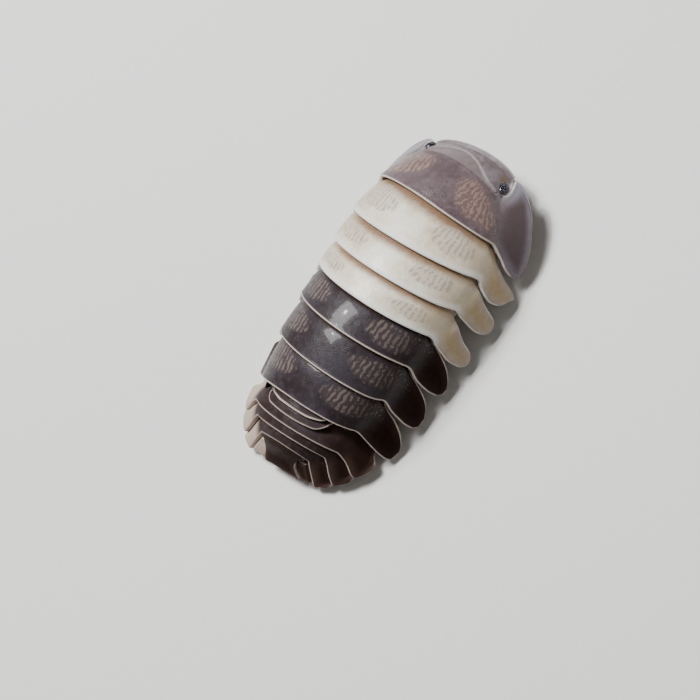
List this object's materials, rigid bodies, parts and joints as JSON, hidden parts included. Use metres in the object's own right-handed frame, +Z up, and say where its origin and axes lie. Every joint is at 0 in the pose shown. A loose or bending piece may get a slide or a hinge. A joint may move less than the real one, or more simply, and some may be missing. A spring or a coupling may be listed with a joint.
{
  "type": "woodlouse",
  "caption": "Life-size still model of a domed woodlouse with overlapping back plates and side lobes, head and first plate grey, a white band behind them and a dark tail end.",
  "frame": {"origin": "on the floor, below the middle of the whole outline", "axes": "+X towards the head, +Y towards the animal's left side, +Z up; the feet stand on z = 0"},
  "size_m": [0.0156, 0.0082, 0.0042],
  "materials": {
    "shell_grey": "satin, finely granular cuticle, grey-mauve with translucent pale rims",
    "shell_white": "satin, slightly translucent ivory cuticle",
    "shell_dark": "satin, finely granular dark slate-brown cuticle with pale rims",
    "limb": "pale, slightly translucent legs, feelers and underside",
    "eye": "glossy near-black cluster of small facets"
  },
  "bodies": {
    "root": {"head": "shell_grey", "eye_left": "eye", "eye_right": "eye", "antenna_left": "limb", "antenna_right": "limb", "pereonite_1": "shell_grey", "pereonite_2": "shell_white", "pereonite_3": "shell_white", "pereonite_4": "shell_white", "pereonite_5": "shell_dark", "pereonite_6": "shell_dark", "pereonite_7": "shell_dark", "pleonite_1": "shell_dark", "pleonite_2": "shell_dark", "pleonite_3": "shell_dark", "pleonite_4": "shell_dark", "pleonite_5": "shell_dark", "telson": "shell_dark", "uropod_left": "shell_dark", "uropod_right": "shell_dark", "leg_1_left": "limb", "leg_1_right": "limb", "leg_2_left": "limb", "leg_2_right": "limb", "leg_3_left": "limb", "leg_3_right": "limb", "leg_4_left": "limb", "leg_4_right": "limb", "leg_5_left": "limb", "leg_5_right": "limb", "leg_6_left": "limb", "leg_6_right": "limb", "leg_7_left": "limb", "leg_7_right": "limb"}
  },
  "joints": []
}
